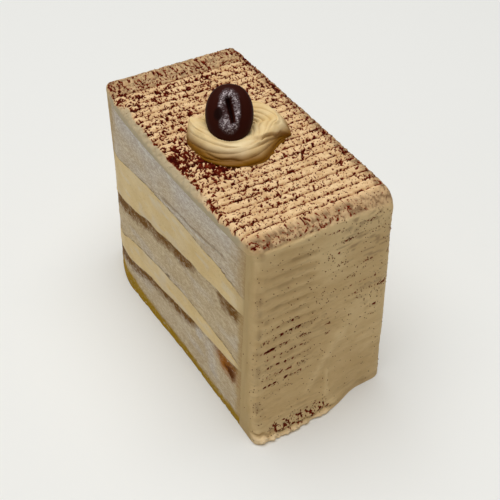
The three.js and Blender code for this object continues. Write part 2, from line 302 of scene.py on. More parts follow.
def blend(tree, share, under, over):
    """Colour that goes from one to another as a share goes from 0 to 1."""
    return add_node(tree, "ShaderNodeMix", {0: share, 6: under, 7: over}, data_type="RGBA").outputs[2]


def between(tree, value, low, high, to_low=0.0, to_high=1.0):
    """Value stretched from one range to another, and held there."""
    inputs = {"Value": value, "From Min": low, "From Max": high, "To Min": to_low, "To Max": to_high}
    return add_node(tree, "ShaderNodeMapRange", inputs).outputs["Result"]


def sums(tree, operation, first, second):
    return add_node(tree, "ShaderNodeMath", {0: first, 1: second}, operation=operation).outputs[0]


def weigh(tree, *shares):
    """Sum of several values, each taken by its share."""
    total = 0.0
    for value, share in shares:
        total = sums(tree, "ADD", sums(tree, "MULTIPLY", value, share), total)
    return total


def mask_value(tree, name):
    return add_node(tree, "ShaderNodeAttribute", attribute_name=name).outputs["Fac"]


def tint(tree, colour, tints):
    """Colour with others laid over it in turn, each where its mask is."""
    for mask, over in tints.items():
        colour = blend(tree, mask_value(tree, mask), colour, over)
    return colour


def broken_mask(tree, mask, height, loss, full):
    """Mask broken up by the height of the grain, so that it is weakest in the pores."""
    grain = between(tree, height, 0, 0.6, -loss, 0.2)
    return between(tree, sums(tree, "ADD", mask_value(tree, mask), grain), 0, full)


def new_material(name, **constants):
    """Material with a Principled shader, whose constant sockets are set here."""
    material = bpy.data.materials.new(name)
    material.use_nodes = True
    shader = material.node_tree.nodes["Principled BSDF"]
    for socket, value in constants.items():
        shader.inputs[socket.replace("_", " ")].default_value = value
    return material, material.node_tree, shader


def finish_surface(tree, shader, colour, roughness, height, strength, depth):
    """Colour, roughness and bumps led to a shader. The bumps have a strength and a depth in millimetres."""
    bump = {"Height": height, "Strength": strength, "Distance": depth * MM}
    normal = add_node(tree, "ShaderNodeBump", bump).outputs[0]
    for socket, value in (("Base Color", colour), ("Roughness", roughness), ("Normal", normal)):
        tree.links.new(value, shader.inputs[socket])


def new_group(name, kind, inputs, outputs):
    """Node group whose sockets are given by name and type, with the sockets of its two ends."""
    group = bpy.data.node_groups.new(name, kind)
    for way, sockets in (("INPUT", inputs), ("OUTPUT", outputs)):
        for socket, value in sockets.items():
            group.interface.new_socket(socket, in_out=way, socket_type="NodeSocket" + value)
    return group, group.nodes.new("NodeGroupInput").outputs, group.nodes.new("NodeGroupOutput").inputs


def crumb_group():
    """Open crumb or whipped cream: a broad tone and the height of its pores, at a size in bumps a metre."""
    inputs = {"Bumps": "Float", "Stretch": "Vector"}
    group, given, result = new_group("Crumb", "ShaderNodeTree", inputs, {"Tone": "Float", "Height": "Float"})
    place = add_node(group, "ShaderNodeTexCoord").outputs["Object"]
    stretched = add_node(group, "ShaderNodeMapping", {"Vector": place, "Scale": given["Stretch"]}).outputs[0]
    broad = sums(group, "MULTIPLY", given["Bumps"], 0.16)
    broad_noise = {"Vector": stretched, "Scale": broad, "Detail": 4, "Roughness": 0.55}
    fine_noise = {"Vector": stretched, "Scale": given["Bumps"], "Detail": 3, "Roughness": 0.6}
    tone = between(group, add_node(group, "ShaderNodeTexNoise", broad_noise).outputs[0], 0.3, 0.7)
    fine = add_node(group, "ShaderNodeTexNoise", fine_noise).outputs[0]
    pores = between(group, fine, 0.56, 0.72)
    group.links.new(tone, result["Tone"])
    group.links.new(sums(group, "SUBTRACT", fine, pores), result["Height"])
    return group


CRUMB = crumb_group()


def crumb_texture(tree, bumps, stretch):
    """Crumb group placed in a material, at this material's own size."""
    return add_node(tree, "ShaderNodeGroup", {"Bumps": bumps, "Stretch": stretch}, node_tree=CRUMB).outputs


def sponge_material():
    material, tree, shader = new_material("sponge", Specular_IOR_Level=0.02)
    grain = crumb_texture(tree, **SPONGE_CRUMB)
    height = grain["Height"]
    tone = weigh(tree, (grain["Tone"], 0.6), (between(tree, height, 0.15, 0.55), 0.4))
    # The grey over the cut face is painted sheen
    colour = tint(tree, blend(tree, tone, SPONGE_DEEP, SPONGE_PALE), {"painted_sheen": CUT_SHEEN_GREY})
    colour = blend(tree, broken_mask(tree, "soaked", height, 0.35, 0.9), colour, SYRUP_BROWN)
    # Dark joint lines, and the painted shade of a fold on the top sponge
    colour = tint(tree, colour, {"line": JOINT_BROWN_AND_FOLD_SHADE, "smeared": SPREAD_CREAM})
    colour = blend(tree, broken_mask(tree, "toasted", height, 0.4, 0.9), colour, TOASTED_SPOT)
    colour = blend(tree, broken_mask(tree, "singed", height, 0.4, 1), colour, TOASTED_CORE)
    crust = sums(tree, "MULTIPLY", mask_value(tree, "crust"), between(tree, height, 0, 0.5, 0.6, 1.0))
    colour = blend(tree, crust, colour, GOLDEN_CRUST)
    roughness = between(tree, grain["Tone"], 0, 1, 0.7, 0.5)
    finish_surface(tree, shader, colour, roughness, height, strength=0.3, depth=0.4)
    return material


def filling_material():
    material, tree, shader = new_material("filling", Specular_IOR_Level=0.1, **SOFT_LIGHT_INSIDE)
    grain = crumb_texture(tree, **FILLING_CRUMB)
    height = grain["Height"]
    tone = weigh(tree, (grain["Tone"], 0.5), (between(tree, height, 0.15, 0.55), 0.5))
    colour = blend(tree, tone, FILLING_DEEP, FILLING_PALE)
    # The grey over the cut face is painted sheen
    colour = tint(tree, colour, {"painted_sheen": CUT_SHEEN_GREY, "smeared": SPREAD_CREAM})
    roughness = between(tree, grain["Tone"], 0, 1, 0.6, 0.45)
    finish_surface(tree, shader, colour, roughness, height, strength=0.3, depth=0.3)
    return material


def layer_masks(name, cut, y, z, over, under):
    """What shows on a cut face of a layer: syrup, joints, smears, crust, painted sheen and a fold's painted
    shade and highlight. Both cuts follow the same rules.
    """
    seed = cut.seed
    at = -cut.side * y
    ragged = uneven(y, z, RAGGED, seed)
    hazy = ramp(mottle(y / 7, z / 3, seed), -0.2, 0.9)
    from_end = np.minimum(y - LAYERS_START, LAYERS_FINISH - y)
    reach = mix(*END_SMEAR.reach, ramp(z, *END_SMEAR.growing))
    smeared = 0.95 * fall(from_end + 0.6 * uneven(y, z, STREAKS, seed), -0.8, reach)
    if name.startswith("filling"):
        # Painted sheen, in hazy patches over the filling's cut face
        painted_sheen = 0.1 * hazy + 0.25 * ramp(mottle(y / 4, z / 1.4, seed + 7), 0.2, 0.9)
        return {"smeared": smeared, "painted_sheen": painted_sheen}
    masks = {mask: 0 * y for mask in ("soaked", "line", "toasted", "singed", "crust")}
    masks["smeared"] = smeared
    if name in SYRUP_DEPTHS:
        depth = np.interp(at, SYRUP_PLACES, SYRUP_DEPTHS[name])
        patches = 0.8 + 0.25 * mottle(y / 3.5, z / 1.6, seed + 8) + 0.15 * ragged
        soaked = ramp(depth - under + 0.6 * ragged, -1.2, 2.4) * ramp(depth, 0.3, 2)
        masks["soaked"] = soaked * patches * ramp(under + 0.2 * ragged, -0.3, 0.7)
    dots = ramp(mottle(y / 1.6, z / 3, seed + 1), -0.5, 0.4)
    joint_line = 0.85 * spot(over, JOINT_LINE) * dots
    if name == "sponge_bottom":
        crust = np.interp(at, CRUST.places, CRUST.heights)
        masks["crust"] = fall(z + 0.6 * mottle(y / 4, z / 3, seed + 4) - crust, -1.4, 0.6)
        masks["toasted"] = 0.9 * fall(oval(at, under, TOASTED) + 0.2 * ragged, 0.1, 1.3)
        masks["singed"] = fall(oval(at, under, SINGED) + 0.25 * ragged, 0.2, 1.2)
        patch = fall(oval(at, under, SHEEN_PATCH) + 0.25 * ragged, 0.3, 1.1)
        streak = spot(at - SHEEN_STREAK.at + SHEEN_STREAK.slope * under, SHEEN_STREAK.width)
        streak = streak * ramp(z, *SHEEN_STREAK.from_floor) * ramp(under, *SHEEN_STREAK.from_filling)
        # Painted sheen: a haze, a patch and a streak on the bottom sponge
        masks["painted_sheen"] = most(0.1 + 0.4 * hazy, 0.85 * patch, 0.9 * streak * (0.75 + 0.25 * ragged))
    if name == "sponge_middle":
        tick = fall(oval(at, over, BROWN_TICK) + 0.2 * ragged, 0.4, 1.1)
        masks["line"] = most(joint_line, 0.7 * tick)
        # Painted sheen as a haze
        masks["painted_sheen"] = 0.4 * hazy
    if name == "sponge_top":
        # A fold in the cut face: its crease is painted shade and the pale stripe under it painted highlight
        over_crease = over - np.interp(at, CREASE_PATH.places, CREASE_PATH.levels)
        crease = spot(over_crease, FOLD_SHADE.width) * band(at, *FOLD_SHADE.shown)
        masks["line"] = most(joint_line, 0.5 * crease)
        stripe = spot(over_crease + FOLD_HIGHLIGHT.under_crease, FOLD_HIGHLIGHT.width)
        stripe = stripe * band(at, *FOLD_HIGHLIGHT.shown)
        # Painted sheen, growing toward the top
        grey = 0.4 + 0.45 * ramp(z, *TOP_SHEEN) + 0.2 * mottle(y / 8, z / 4, seed)
        masks["painted_sheen"] = most(grey, 0.85 * stripe)
    return masks


def layer_relief(name, y, z, seed):
    smear = uneven(y, z, KNIFE_MARKS, seed)
    if name.startswith("filling"):
        return FILLING_PROUD + smear
    return smear - PORE_DEPTH * ramp(mottle(y / 0.9, z / 0.7, seed + 2), 0.45, 0.8)


def layer_piece(name, lower, upper, material):
    """Layer between two levels, running from cut to cut, with a fine grid on both cut faces."""
    start = LAYERS_START - LAYER_OVERLAP
    finish = LAYERS_FINISH + LAYER_OVERLAP
    lengths = round((finish - start) / LAYER_GRID)
    box_low, box_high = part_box(name)
    heights = round((box_high.z - box_low.z) / MM / LAYER_GRID)
    rise = np.linspace(0, 1, heights + 1)
    width = np.linspace(0, 1, LAYER_COLUMNS + 1)[1:-1]
    across = np.concatenate([0 * rise, width, 0 * rise + 1, width[::-1]])
    up = np.concatenate([rise[::-1], 0 * width, rise, 0 * width + 1])
    side = np.concatenate([0 * rise - 1, 0 * width, 0 * rise + 1, 0 * width])
    y = np.linspace(start, finish, lengths + 1)[:, None]

    def level(x):
        return mix(lower(x, y), upper(x, y), up)

    left, right = [cut_face(cut, y, level(cut_face(cut, y, HEIGHT / 2))) for cut in CUTS]
    x = mix(left, right, across)
    z = level(x)
    y = y + 0 * x
    over = z - lower(x, y)
    under = upper(x, y) - z
    reliefs = [layer_relief(name, y, z, cut.relief_seed) for cut in CUTS]
    relief = np.where(side < 0, *reliefs) * ramp(np.minimum(y - start, finish - y), *LAYER_END_FADE)
    left_masks, right_masks = [layer_masks(name, cut, y, z, over, under) for cut in CUTS]
    masks = {mask: np.where(side < 0, left_masks[mask], right_masks[mask]) for mask in left_masks}
    points = np.stack([x + side * relief, y, z], axis=-1).reshape(-1, 3)
    piece = new_piece(name + "_look", points, ring_faces(lengths + 1, len(up)), masks, material)
    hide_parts(name)
    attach(piece, "root")
    return piece


sponge = sponge_material()
filling = filling_material()
for name, lower, upper in (
    ("sponge_bottom", floor_level, joint("bottom_sponge_top")),
    ("sponge_middle", joint("middle_sponge_foot"), joint("middle_sponge_top")),
    ("sponge_top", joint("top_sponge_foot"), under_coat),
):
    layer_piece(name, lower, upper, sponge)
for name, lower, upper in (
    ("filling_lower", joint("bottom_sponge_top"), joint("middle_sponge_foot")),
    ("filling_upper", joint("middle_sponge_top"), joint("top_sponge_foot")),
):
    layer_piece(name, lower, upper, filling)

# Coat: coffee buttercream spread over the top and both ends of the bar and drawn smooth with a comb, whose
# teeth leave flat strips with torn edges. Cocoa sifted over it has settled in the grooves and tears.
FRONT = Values(
    side=-1,
    reach=40.3,
    skirt=1.9,
    corners=Values(left=Values(across=2.2, along=2.8), right=Values(across=3.5, along=3.5)),
    seed=120,
)
BACK = Values(
    side=1,
    reach=42.2,
    skirt=0.0,
    corners=Values(left=Values(across=2.0, along=2.4), right=Values(across=2.6, along=3.0)),
    seed=140,
)
END_COAT = 4.0
END_LEAN = 1.6
EDGE_ROLL = 5.0
EDGE_SHARPNESS = 4.5
ROUND_EDGE = 2.0
INNER_EDGE = 0.6
CUT_EDGE_RADIUS = 1.2
SKIRT = Values(rise=16.0, fade=(1.0, 13.0))
LEDGE = Values(proud=0.9, height=3.0)
CORNER_DROOP = Values(depth=1.6, across=(6.0, 18.0), reach=9.0)
CUT_SAG = Values(depth=1.1, across=7.0, along=17.0)
COAT_ROWS = Values(front=136, edge=22, top=300, back=98)
COAT_COLUMNS = Values(across=140, corner=5, cut=6)
FOOT_ROWS = Values(share=0.24, height=8.0)
FLAT_FOOT = 0.8

# The combed top: its grooves, and where it is torn and holds cocoa
TOP_COMB = Values(pitch=2.85, depth=0.6, bow=0.5, fading=8, width=0.28, line=0.2)
TOP_COMB_ENDS = Values(front=1.0, back=(2.0, 4.5))
TEAR_DEPTH = 0.42
TORN = Values(front=0.46, back=0.78, growing=(-12, 14), slant=0.35)
TORN_LEFT_BACK = Values(share=0.14, x=-12, across=8, y=22, along=14)
TORN_BY_ROSETTE = Values(share=1.85, x=-10, across=6, y=-9, along=6.5)
TORN_LEFT = Values(share=1.5, x=(-6, -13), y=-2, along=15)
TORN_LEFT_EDGE = Values(share=1.05, x=(-15.5, -18.5), y=(-36, -26))
TORN_FRONT_EDGE = Values(share=0.55, y=(-35, -37))
TORN_RIGHT_RIM = Values(share=0.35, width=(1.2, 3.6))
BARE_CORNER = Values(share=1.0, x=17, across=7, y=-39, along=6)
BARE_LEFT_CORNER = Values(share=0.3, x=-18, across=4, y=-38, along=4)
TOP_WANDER = ((0.1, 7, 5, 101), (0.06, 1.3, 2.4, 102))
BLOTS = ((0.58, 0.52, 0.78, 104), (0.46, 0.3, 0.34, 105))
TOP_PLATES = ((0.07, 1.4, 0.9, 106), (0.06, 0.45, 0.45, 107))

# The combed ends: ripples, one stroke and one flap of the knife, cocoa in the grooves and the lip at the foot
END_COMB = Values(pitch=3.1, depth=0.62, across=(-2, 8, 15.5, 18), up=(16, 36))
STROKE = Values(height=0.3, x=-4, z=10, slope=1.6, width=2.6, up=(6, 12, 26, 36))
FLAP = Values(height=0.4, x=1.2, z=5, slope=0.06, width=0.7, up=(4, 6, 10, 16))
GROOVE_COCOA = Values(width=0.32, across=(1, 8, 17.6, 18.6), up=(12, 17, 34, 42))
GROOVE_DASHES = Values(across=(-4, 4), up=(20, 28))
LIP = Values(level=1.3, corner=(13, 20), corner_rise=1.5, proud=0.7, fade=(-1, 5))
LIP_CREASE = Values(over_lip=0.3, width=0.4, depth=0.5, fade=(1, 4), cocoa_fade=(15, 19))
LIP_COCOA = Values(height=4.4, across=(-3, 0, 14, 18))
DRAG_MARKS = ((0.07, 7, 0.5, 1), (0.07, 1.6, 0.6, 2))
LIP_EDGE = ((0.7, 2.2, 9, 10), (0.25, 1.1, 3, 13))
LIP_LUMPS = ((0.5, 1.1, 1.1, 11), (0.35, 0.55, 0.55, 12))
CLUMPS = ((1, 0.5, 0.45, 7), (0.4, 2.4, 2.4, 8))

# Wear, smears and painted shade and sheen along the coat's edges
LEFT_EDGE = Values(inset=1.5, width=0.7, waves=0.22, worn=(4, 9))
OVER_EDGE = Values(width=(0.9, 1.6), y=(-24, -12, 24, 32))
SMUDGED_AND_SHADED_EDGES = Values(front=(-34.5, -37), back=(31, 34))
SCUFFED = Values(up=(30, 50), x=(-6, 8))
SHEEN_FROM_END = (3, 8)
CUT_HEM = 0.7
HEM_WAVES = ((0.9, 2.6, 40, 153), (0.5, 0.8, 40, 154))
OVER_EDGE_WAVES = ((1.1, 5, 40, 165), (0.4, 1.2, 40, 157))
CRUMBS = ((1, 0.6, 0.6, 151), (0.6, 0.34, 0.34, 152))
SCUFFS = ((1, 1.8, 0.4, 163), (0.5, 7, 6, 164))

# Top cream: crests are painted toward the pale colour and hollows toward the deep one, as painted light and
# shade
CREAM_PALE = srgb(254, 221, 172)
CREAM_DEEP = srgb(192, 147, 96)
END_PALE = srgb(229, 202, 152)
END_DEEP = srgb(200, 168, 118)
COCOA_DARK = srgb(60, 6, 1)
COCOA_RED = srgb(124, 37, 10)
# Painted sheen on the coat's cut sides and where it reaches over the top's left edge
COAT_SHEEN_GREY = srgb(186, 170, 138)
# Cocoa smudges, and painted shade on the back strip, the right rim and the left corners of the ends
COCOA_SMUDGE_AND_SHADE = srgb(138, 108, 76)
# Dragged streaks on the cut sides, with painted shade down the left corners of the ends
CREAM_STREAK_AND_CORNER_SHADE = srgb(162, 129, 72)
# Painted light on the top of the lip at the foot
LIP_PAINTED_LIGHT = srgb(252, 222, 176)
COAT_CRUMB = {"bumps": 1700, "stretch": (0.6, 1, 1)}
CHIPS_PER_METRE = 1000


def top_level(x, y):
    """Level of the coat: it sags at the middle of the left cut and droops at the front right corner."""
    toward_left = np.maximum(0, 1 - (x - cut_face(LEFT_CUT, y, HEIGHT)) / CUT_SAG.across)
    sag = CUT_SAG.depth * toward_left**2 * spot(y, CUT_SAG.along)
    toward_front = np.maximum(0, 1 - (y + FRONT.reach) / CORNER_DROOP.reach)
    droop = CORNER_DROOP.depth * ramp(x, *CORNER_DROOP.across) * toward_front**2
    return HEIGHT - sag - droop


def end_reach(end, x, z):
    """How far an end stands out: it leans to its foot, where a skirt of cream ends in a ledge."""
    lean = END_LEAN * (1 - z / HEIGHT)
    spread = fall(x, *SKIRT.fade) if end is FRONT else 1 + 0 * x
    skirt = end.skirt * fall(z, 0, SKIRT.rise)
    ledge = LEDGE.proud * fall(z, LEDGE.height / 2, LEDGE.height)
    return end.reach + lean + spread * (skirt + ledge)


def end_rows(end, count):
    """Rows of an end, from its foot to the start of the rolled edge, closest together at the foot."""
    inner_y = end.side * (end.reach - END_COAT)
    edge_foot = HEIGHT - EDGE_ROLL
    inner_top = HEIGHT - TOP_COAT - INNER_EDGE
    low_rows = round(count * FOOT_ROWS.share)
    low = np.linspace(0, FOOT_ROWS.height, low_rows, endpoint=False)
    high = np.linspace(FOOT_ROWS.height, edge_foot, count - low_rows)
    rows = []
    for at in np.concatenate([low, high]):
        rows.append(Values(
            end=end,
            inner=(inner_y, at * inner_top / edge_foot),
            outer=lambda x, at=at: (end.side * end_reach(end, x, at), at + 0 * x),
            turned=0.0,
            at=at,
        ))
    return rows


def edge_rows(end, count):
    """Rows of the rolled edge between an end and the top, tight along most of it and wide where it droops."""
    inner_y = end.reach - END_COAT
    inner_z = HEIGHT - TOP_COAT

    def rolled(x, turn):
        widen = ramp(x, *CORNER_DROOP.across) if end is FRONT else 0 * x
        power = 2 / mix(EDGE_SHARPNESS, ROUND_EDGE, widen)
        roll_foot = end_reach(end, x, HEIGHT - EDGE_ROLL) - EDGE_ROLL
        level = top_level(x, end.side * roll_foot) - EDGE_ROLL
        y = roll_foot + EDGE_ROLL * math.cos(turn) ** power
        return end.side * y, level + EDGE_ROLL * math.sin(turn) ** power

    rows = []
    for gone in np.linspace(0, 1, count + 2)[1:-1]:
        past = mix(-INNER_EDGE, INNER_EDGE, gone)
        rows.append(Values(
            end=end,
            inner=(end.side * (inner_y - max(0, past)), inner_z + min(0, past)),
            outer=lambda x, turn=gone * math.pi / 2: rolled(x, turn),
            turned=gone,
            at=HEIGHT,
        ))
    return rows


TOP_START = EDGE_ROLL - FRONT.reach
TOP_FINISH = BACK.reach - EDGE_ROLL


def top_rows(count):
    """Rows of the combed top, which bow a little across the slice as the comb did."""
    inner_start = END_COAT + INNER_EDGE - FRONT.reach
    inner_finish = BACK.reach - END_COAT - INNER_EDGE

    def bowed(x, at, gone):
        fade = 1 - (2 * gone - 1) ** TOP_COMB.fading
        y = at - TOP_COMB.bow * fade * (1 - (x / LEFT_CUT.top[1]) ** 2)
        return y, top_level(x, y)

    rows = []
    for gone in np.linspace(0, 1, count):
        at = mix(TOP_START, TOP_FINISH, gone)
        rows.append(Values(
            end=FRONT,
            inner=(mix(inner_start, inner_finish, gone), HEIGHT - TOP_COAT),
            outer=lambda x, at=at, gone=gone: bowed(x, at, gone),
            turned=1.0,
            at=at,
        ))
    return rows


def coat_section(row):
    """Points of one row from the left cut round the outside to the right cut, and how far each faces out."""
    inner_y, inner_z = row.inner

    def place(x, out):
        y, z = row.outer(x)
        return mix(inner_y, y, out), mix(inner_z, z, out)

    def corner(cut, size):
        across = mix(size.across, CUT_EDGE_RADIUS, row.turned)
        radius = mix(size.along, CUT_EDGE_RADIUS, row.turned)
        edge = np.array([cut_face(cut, inner_y, inner_z)])
        y, z = row.outer(edge)
        depth = math.hypot(y[0] - inner_y, z[0] - inner_z)
        turn = np.linspace(0, math.pi / 2, COAT_COLUMNS.corner + 1)
        start = 1 - radius / depth
        flat = np.linspace(0, start, COAT_COLUMNS.cut + 1)[:-1]
        out = np.concatenate([flat, 1 - (radius / depth) * (1 - np.sin(turn))])
        rounding = np.concatenate([0 * flat, across * (1 - np.cos(turn))])
        facing = np.concatenate([0 * flat, np.sin(turn)])
        reach_y, reach_z = place(cut_face(cut, y, z) + 0 * out, out)
        x = cut_face(cut, reach_y, reach_z) - cut.side * rounding
        return x, out, facing

    left_x, left_out, left_facing = corner(LEFT_CUT, row.end.corners.left)
    right_x, right_out, right_facing = corner(RIGHT_CUT, row.end.corners.right)
    middle = np.linspace(left_x[-1], right_x[-1], COAT_COLUMNS.across + 1)[1:-1]
    x = np.concatenate([left_x, middle, right_x[::-1]])
    out = np.concatenate([left_out, 0 * middle + 1, right_out[::-1]])
    facing = np.concatenate([left_facing, 0 * middle + 1, right_facing[::-1]])
    y, z = place(x, out)
    return np.stack([x, y, z], axis=-1), facing


def top_patch(x, y, place):
    """Soft patch of the top round a place, as strong as its share."""
    return place.share * spot(x - place.x, place.across) * spot(y - place.y, place.along)


def torn_share(x, y):
    """How much of the top is torn: most on its left and by the rosette, least at its front corners."""
    all_over = mix(TORN.front, TORN.back, ramp(y, *TORN.growing)) + top_patch(x, y, TORN_LEFT_BACK)
    left = TORN_LEFT.share * ramp(x, *TORN_LEFT.x) * spot(y - TORN_LEFT.y, TORN_LEFT.along)
    left_edge = TORN_LEFT_EDGE.share * ramp(x, *TORN_LEFT_EDGE.x) * ramp(y, *TORN_LEFT_EDGE.y)
    front_edge = TORN_FRONT_EDGE.share * ramp(y, *TORN_FRONT_EDGE.y)
    torn = most(all_over, left, top_patch(x, y, TORN_BY_ROSETTE), left_edge, front_edge)
    rim = fall(cut_face(RIGHT_CUT, y, HEIGHT) - x, *TORN_RIGHT_RIM.width)
    bare = 1.1 * top_patch(x, y, BARE_CORNER) + top_patch(x, y, BARE_LEFT_CORNER)
    return torn + TORN_RIGHT_RIM.share * rim - bare


def top_tears(x, at, y):
    """Combed top: its grooves and torn pits as a depth, and the cocoa that has settled in them."""
    count = round((TOP_FINISH - TOP_START) / TOP_COMB.pitch)
    pitch = (TOP_FINISH - TOP_START) / count
    tooth = (at - TOP_START) / pitch + uneven(x, at, TOP_WANDER)
    number = np.floor(tooth)
    from_groove = np.abs(tooth - number - 0.5) * pitch
    fade_in = ramp(at - TOP_START, -TOP_COMB_ENDS.front, 0)
    combed = fade_in * ramp(TOP_FINISH - at, *TOP_COMB_ENDS.back)
    torn = torn_share(x, y)
    slant = at - TORN.slant * x
    gashes = 0.62 * mottle(x / 0.42, slant / 1.1, 111) + 0.44 * mottle(x / 0.3, at / 0.4, 105)
    shapes = mix(uneven(x, slant, BLOTS), gashes, ramp(y, *TORN.growing))
    limit = 0.64 - 0.55 * torn - 0.2 * mottle(x / 3.2, at / 3.2, 108) - 0.2 * spot(from_groove, 0.6) * combed
    tear = ramp(shapes, limit, limit + 0.16)
    dusted = tear * (0.72 + 0.28 * mottle(x / 0.7, at / 0.8, 112))
    speck = 0.6 * ramp(mottle(x / 0.36, at / 0.4, 109), 0.52 - 0.2 * torn, 0.8)
    speck = speck * (1 - 0.8 * top_patch(x, y, BARE_CORNER))
    dots = ramp(mottle(x / 0.42 + 17.3 * number, number * 3.7 + at / 1.2, 103), -0.6, 0.1)
    faded = ramp(mottle(x / 6, number * 2.3, 110), -0.9, 0.1)
    groove = spot(from_groove, TOP_COMB.width) * combed
    line = 0.9 * spot(from_groove, TOP_COMB.line) * dots * combed * mix(0.6, 1, faded)
    sunk = TOP_COMB.depth * groove * (0.45 + 0.55 * dots) + TEAR_DEPTH * tear
    return uneven(x, at, TOP_PLATES) - sunk, most(line, speck, dusted)


def end_combing(x, z, end):
    """Combed end: soft ripples with drag marks along them, cocoa in its grooves and above its torn lip."""
    seed = end.seed
    rightward = -end.side * x
    leftward = -rightward
    count = round((HEIGHT - EDGE_ROLL) / END_COMB.pitch)
    pitch = (HEIGHT - EDGE_ROLL) / count
    tooth = z / pitch + 0.14 * mottle(x / 8, z / 6, seed)
    number = np.floor(tooth)
    trough = (0.5 - 0.5 * np.cos(2 * math.pi * tooth)) ** 1.6
    clear = 0.1 + 0.9 * band(leftward, *END_COMB.across) * ramp(z, *END_COMB.up)
    rubbed = ramp(mottle(x / 6, z / 5, seed + 4), -0.4, 0.6)
    relief = 0.25 * mottle(x / 12, z / 10, seed + 3) + uneven(x, z, DRAG_MARKS, seed)
    relief = relief - END_COMB.depth * trough * clear * mix(0.45, 1, rubbed)
    stroke = z - STROKE.z - STROKE.slope * (rightward - STROKE.x)
    flap = rightward - FLAP.x - FLAP.slope * (z - FLAP.z)
    for distance, mark in ((stroke, STROKE), (flap, FLAP)):
        relief = relief + mark.height * spot(distance, mark.width) * band(z, *mark.up)
    from_trough = np.abs(tooth - number - 0.5) * pitch + 0.2 * mottle(x / 1.2, z / 1.2, seed + 9)
    dotted = band(leftward, *GROOVE_COCOA.across) * band(z, *GROOVE_COCOA.up)
    dashes = ramp(mottle(x / 3.2 + 5.3 * number, number * 2.1, seed + 6), 0.0, 0.4)
    dashes = dashes * ramp(rightward, *GROOVE_DASHES.across) * ramp(z, *GROOVE_DASHES.up)
    line = spot(from_trough, GROOVE_COCOA.width) * most(dotted, 0.75 * dashes)
    dots = ramp(mottle(x / 0.5 + 9.1 * number, z / 0.4, seed + 5), 0.0, 0.4)
    lip_top = LIP.level + LIP.corner_rise * ramp(leftward, *LIP.corner)
    lip_top = lip_top + uneven(x, x, LIP_EDGE, seed)
    on_lip = fall(rightward, *LIP.fade) * fall(z, lip_top - 0.4, lip_top)
    crease = spot(z - lip_top - LIP_CREASE.over_lip, LIP_CREASE.width)
    crease = crease * fall(rightward, *LIP_CREASE.fade)
    relief = relief + on_lip * (LIP.proud + uneven(x, z, LIP_LUMPS, seed)) - LIP_CREASE.depth * crease
    gathered = band(z, lip_top - 0.2, lip_top + 0.3, lip_top + 0.6, lip_top + LIP_COCOA.height)
    gathered = gathered * band(leftward, *LIP_COCOA.across)
    gathered = most(gathered, 0.3 * crease * fall(leftward, *LIP_CREASE.cocoa_fade))
    clumps = ramp(uneven(x, z, CLUMPS, seed) + 0.6 * gathered, 0.6, 1.0) * ramp(gathered, 0, 0.2)
    cocoa = most(0.85 * line * dots, 0.55 * clumps)
    return relief - 0.25 * cocoa, cocoa, line + 0.8 * gathered, on_lip


def coat_rows():
    front = end_rows(FRONT, COAT_ROWS.front) + edge_rows(FRONT, COAT_ROWS.edge)
    back = end_rows(BACK, COAT_ROWS.back) + edge_rows(BACK, COAT_ROWS.edge)
    return front + top_rows(COAT_ROWS.top) + back[::-1]


